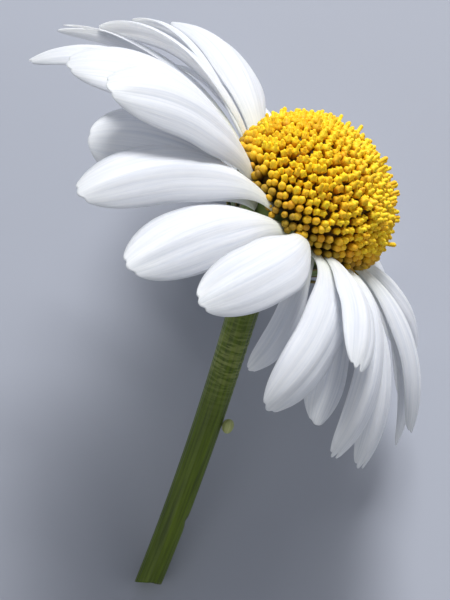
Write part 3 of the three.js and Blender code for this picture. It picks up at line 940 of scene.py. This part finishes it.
@dataclass
class Stem:
    """The stem: a ribbed round profile carried along a cubic path from the cup to the slanting cut.

    Its radius is the taper plus the neck's swelling, times 1 plus shallow ribs round it.
    """

    top_radius: float = 1.62
    end_radius: float = 1.36
    neck_radius: float = 2.5
    cup_depth: float = 5.9
    end_offset: tuple[float, float, float] = (-16.9, -34.5, -24.45)
    end_slope: float = 22.0
    end_heading: float = 246.0
    cut_tilt: float = 18.0
    start_handle: float = 1.5
    end_handle: float = 22.0
    ribs: int = 11
    rib_height: float = 0.035
    rows: int = 150
    sides: int = 88
    bud_at: float = 0.53
    bud_radius: float = 0.62
    bud_length: float = 1.6
    bud_gap: float = 0.05

    def path(self, share: Array) -> tuple[Array, Array]:
        """Points and directions at even shares of the stem's length, in the row's frame."""
        centre, axis = np.asarray(HEAD.centre), HEAD.axis
        start = centre - axis * (self.cup_depth + 0.3)
        end = centre + np.asarray(self.end_offset)
        h, slope = math.radians(self.end_heading), math.radians(self.end_slope)
        arrive = np.array([math.cos(h) * math.cos(slope), math.sin(h) * math.cos(slope), -math.sin(slope)])
        points = np.stack([start, start - axis * self.start_handle, end - arrive * self.end_handle, end])
        t = np.linspace(0, 1, 400)
        place, _ = cubic(points, t)
        walked = np.concatenate([[0], np.cumsum(np.linalg.norm(np.diff(place, axis=0), axis=1))])
        return cubic(points, np.interp(share, walked / walked[-1], t))

    def radius(self, s: Array) -> Array:
        """The stem's radius at share s: its taper plus a swelling that dies away from the neck."""
        swelling = (self.neck_radius - self.top_radius) * np.exp(-12 * s)
        return mix(self.top_radius, self.end_radius, s) + swelling

    def axes(self, along: Array) -> tuple[Array, Array]:
        """Side and up directions square to the path."""
        side = unit(np.cross(along, np.array([0.0, 0.0, 1.0])))
        return side, np.cross(side, along)

    def build(self, skin: bpy.types.Material, pith: bpy.types.Material) -> None:
        """The stem's skin with its scar, and the cut face in its own finish."""
        s = np.linspace(0, 1, self.rows)
        a = np.arange(self.sides) / self.sides * 2 * math.pi
        place, along = self.path(s)
        side, up = self.axes(along)
        spoke = side[:, None] * np.cos(a)[None, :, None] - up[:, None] * np.sin(a)[None, :, None]
        rib = (np.cos(self.ribs * a) ** 2 - 0.6)[None, :]
        ribbed = 1 + self.rib_height * rib * smoothstep(s, 0.02, 0.15)[:, None]
        around = np.angle(np.exp(1j * (a - math.pi)))
        nick = 0.12 * bell(s, 0.815, 0.012)[:, None] * bell(around, 0.0, 0.5)[None, :]
        crossing = (bell(s, 0.33, 0.13) * np.sin(260 * s))[:, None]
        scars = 0.02 * crossing * (0.5 + 0.5 * np.cos(3 * a + 9 * s[:, None]))
        radius = self.radius(s)[:, None] * (ribbed - nick + scars)
        points = place[:, None] + spoke * radius[..., None]
        tilt = math.radians(self.cut_tilt)
        cut = np.array([0.0, -math.cos(tilt), -math.sin(tilt)])
        off = (points[-1] - place[-1]) @ cut
        points[-1] -= along[-1] * (off / (along[-1] @ cut))[:, None]
        whole = np.ones((self.rows, self.sides))
        values = {
            "along_mm": s[:, None] * 45 * whole,
            "across_mm": a[None, :] * 1.5 * whole,
            "radius": whole,
            "scarred": 0.42 * bell(s, 0.34, 0.11)[:, None] * whole,
            "bruised": 0.8 * bell(s, 0.8, 0.008)[:, None] * bell(around, 0.0, 0.35)[None, :],
        }
        piece = new_piece(
            "stem_skin", points.reshape(-1, 3), tube_faces(self.rows, self.sides),
            values, skin, ["stem"]
        )
        piece.data.materials.append(pith)
        self.cut_face(piece)

    def cut_face(self, piece: bpy.types.Object) -> None:
        """Splits the end cap into rings, so that the pith's colour can change towards the skin.

        Args:
            piece: the stem, whose last face is its cut.
        """
        body = bmesh.new()
        body.from_mesh(piece.data)
        body.faces.ensure_lookup_table()
        share = body.verts.layers.float["radius"]
        cap = body.faces[-1]
        for inset, value in ((0.16, 0.86), (0.4, 0.5)):
            bmesh.ops.inset_region(body, faces=[cap], thickness=inset * MM, depth=0.0)
            for vert in cap.verts:
                vert[share] = value
        middle = bmesh.ops.poke(body, faces=[cap])["verts"][0]
        middle[share] = 0.0
        for face in body.faces:
            if min(v[share] for v in face.verts) < 1.0:
                face.material_index = 1
        body.to_mesh(piece.data)
        body.free()

    def build_bud(self, material: bpy.types.Material) -> None:
        """The pale bud: an egg lying along the stem, r = R sin(u) with five shallow lobes."""
        place, along = self.path(np.array([self.bud_at]))
        place, along = place[0], along[0]
        side, up = self.axes(along)
        centre = place - side * (self.radius(np.array(self.bud_at)) + self.bud_radius + self.bud_gap)
        u, a = np.linspace(0.06, math.pi - 0.06, 20), np.linspace(0, 2 * math.pi, 28, endpoint=False)
        radius = self.bud_radius * np.sin(u)[:, None] * (1 + 0.05 * np.cos(5 * a)[None, :])
        height = -self.bud_length / 2 * np.cos(u)
        points = (
            centre
            + radius[..., None]
            * (np.cos(a)[None, :, None] * side + np.sin(a)[None, :, None] * np.cross(along, side))
            + height[:, None, None] * along
        )
        whole = np.ones(radius.shape)
        values = {"along_mm": height[:, None] * whole, "across_mm": a[None, :] * 0.6 * whole}
        faces = tube_faces(len(u), len(a))
        new_piece("leaf_bud", points.reshape(-1, 3), faces, values, material, ["stem_bud"])


# ---- stage -----------------------------------------------------------


@dataclass
class Stage:
    """A plain pale surface, soft studio light and the camera."""

    floor_size: float = 6.0
    floor_colour: str = "#a9adb8"
    elevation: float = 72.0
    distance: float = 0.4
    lens: float = 235.2
    aim_aside: tuple[float, float] = (0.0214, 0.0258)

    def build_floor(self) -> None:
        """The plain pale surface that the flower lies on."""
        half = self.floor_size / 2
        mesh = bpy.data.meshes.new("floor")
        corners = [(-half, -half, 0), (half, -half, 0), (half, half, 0), (-half, half, 0)]
        mesh.from_pydata(corners, [], [(0, 1, 2, 3)])
        material, _, shader = start_material("plain_pale_floor")
        shader.inputs["Base Color"].default_value = linear(self.floor_colour)
        shader.inputs["Roughness"].default_value = 0.9
        shader.inputs["Specular IOR Level"].default_value = 0.15
        mesh.materials.append(material)
        floor = bpy.data.objects.new("floor", mesh)
        bpy.context.scene.collection.objects.link(floor)

    def build_lights(self) -> None:
        """A large soft key from beyond the head, a weaker fill from the camera's side, and a pale sky."""
        for name, place, size, power in (
            ("key", (0.12, 0.6, 0.5), 0.3, 7.8),
            ("fill", (-0.4, -0.5, 0.55), 0.8, 1.0),
            ("side", (0.6, -0.1, 0.35), 0.4, 0.5),
        ):
            lamp = bpy.data.lights.new(name, "AREA")
            lamp.shape = "DISK"
            lamp.size = size
            lamp.energy = power
            light = bpy.data.objects.new(name, lamp)
            at = np.array(place)
            light.matrix_world = self.facing(at, np.array([0.0, 0.0, 0.02]), np.array([0.0, 0.0, 1.0]))
            bpy.context.scene.collection.objects.link(light)
        world = bpy.data.worlds.new("pale_sky")
        world.use_nodes = True
        background = world.node_tree.nodes["Background"]
        background.inputs["Color"].default_value = linear("#dfe4ee")
        background.inputs["Strength"].default_value = 0.3
        bpy.context.scene.world = world

    def facing(self, place: Array, target: Array, above: Array) -> Matrix:
        """The placing matrix of a light or camera at place that looks at target, with above at its top."""
        back = unit(place - target)
        right = unit(np.cross(above, back))
        matrix = np.eye(4)
        matrix[:3, :3] = np.stack([right, np.cross(back, right), back], axis=1)
        matrix[:3, 3] = place
        return Matrix(matrix.tolist())

    def build_camera(self) -> None:
        """The camera, looking down on the head, and aimed past it so that the stem is in view."""
        e = math.radians(self.elevation)
        right, up = np.array([1.0, 0.0, 0.0]), np.array([0.0, math.sin(e), math.cos(e)])
        back = np.array([0.0, -math.cos(e), math.sin(e)])
        place = np.asarray(HEAD.centre) * MM + back * self.distance
        ahead = unit(back + self.aim_aside[0] * right + self.aim_aside[1] * up)
        camera = bpy.data.objects.new("camera", bpy.data.cameras.new("camera"))
        camera.data.lens = self.lens
        camera.data.sensor_width = 36.0
        camera.data.clip_start = 0.01
        camera.matrix_world = self.facing(place, place - ahead, up)
        bpy.context.scene.collection.objects.link(camera)
        bpy.context.scene.camera = camera


# ---- main ------------------------------------------------------------


def main() -> None:
    """Builds the flower's parts in order, then the stage."""
    logging.basicConfig(level=logging.INFO, format="%(name)s: %(message)s")
    stage = Stage()
    stage.build_camera()
    RayPetals().build(PetalFinish().make())
    DiscFlorets().build(FloretFinish().make())
    cup = Cup()
    # The dark brown bed colour is painted shade between the florets.
    cup.build_cup(GreenFinish("cup_skin", "#5c6f2c", "#82934a", "#9aa866", 0.5, 0.6, bed="#5a4208").make())
    cup.build_bracts(
        GreenFinish("bract_skin", "#4f6526", "#7c8f45", "#93a35c", 0.3, 0.55, margin="#8a7647").make()
    )
    stem = Stem()
    stem_skin = GreenFinish("stem_skin", "#415206", "#62770c", "#b0b868", 0.34, 0.45).make()
    stem.build(stem_skin, PithFinish().make())
    stem.build_bud(GreenFinish("bud_skin", "#9aa25c", "#c3c78a", "#d6d8ae", 0.3, 0.55).make())
    stage.build_floor()
    stage.build_lights()
    bpy.context.scene.view_settings.view_transform = "Standard"


if __name__ == "__main__":
    main()
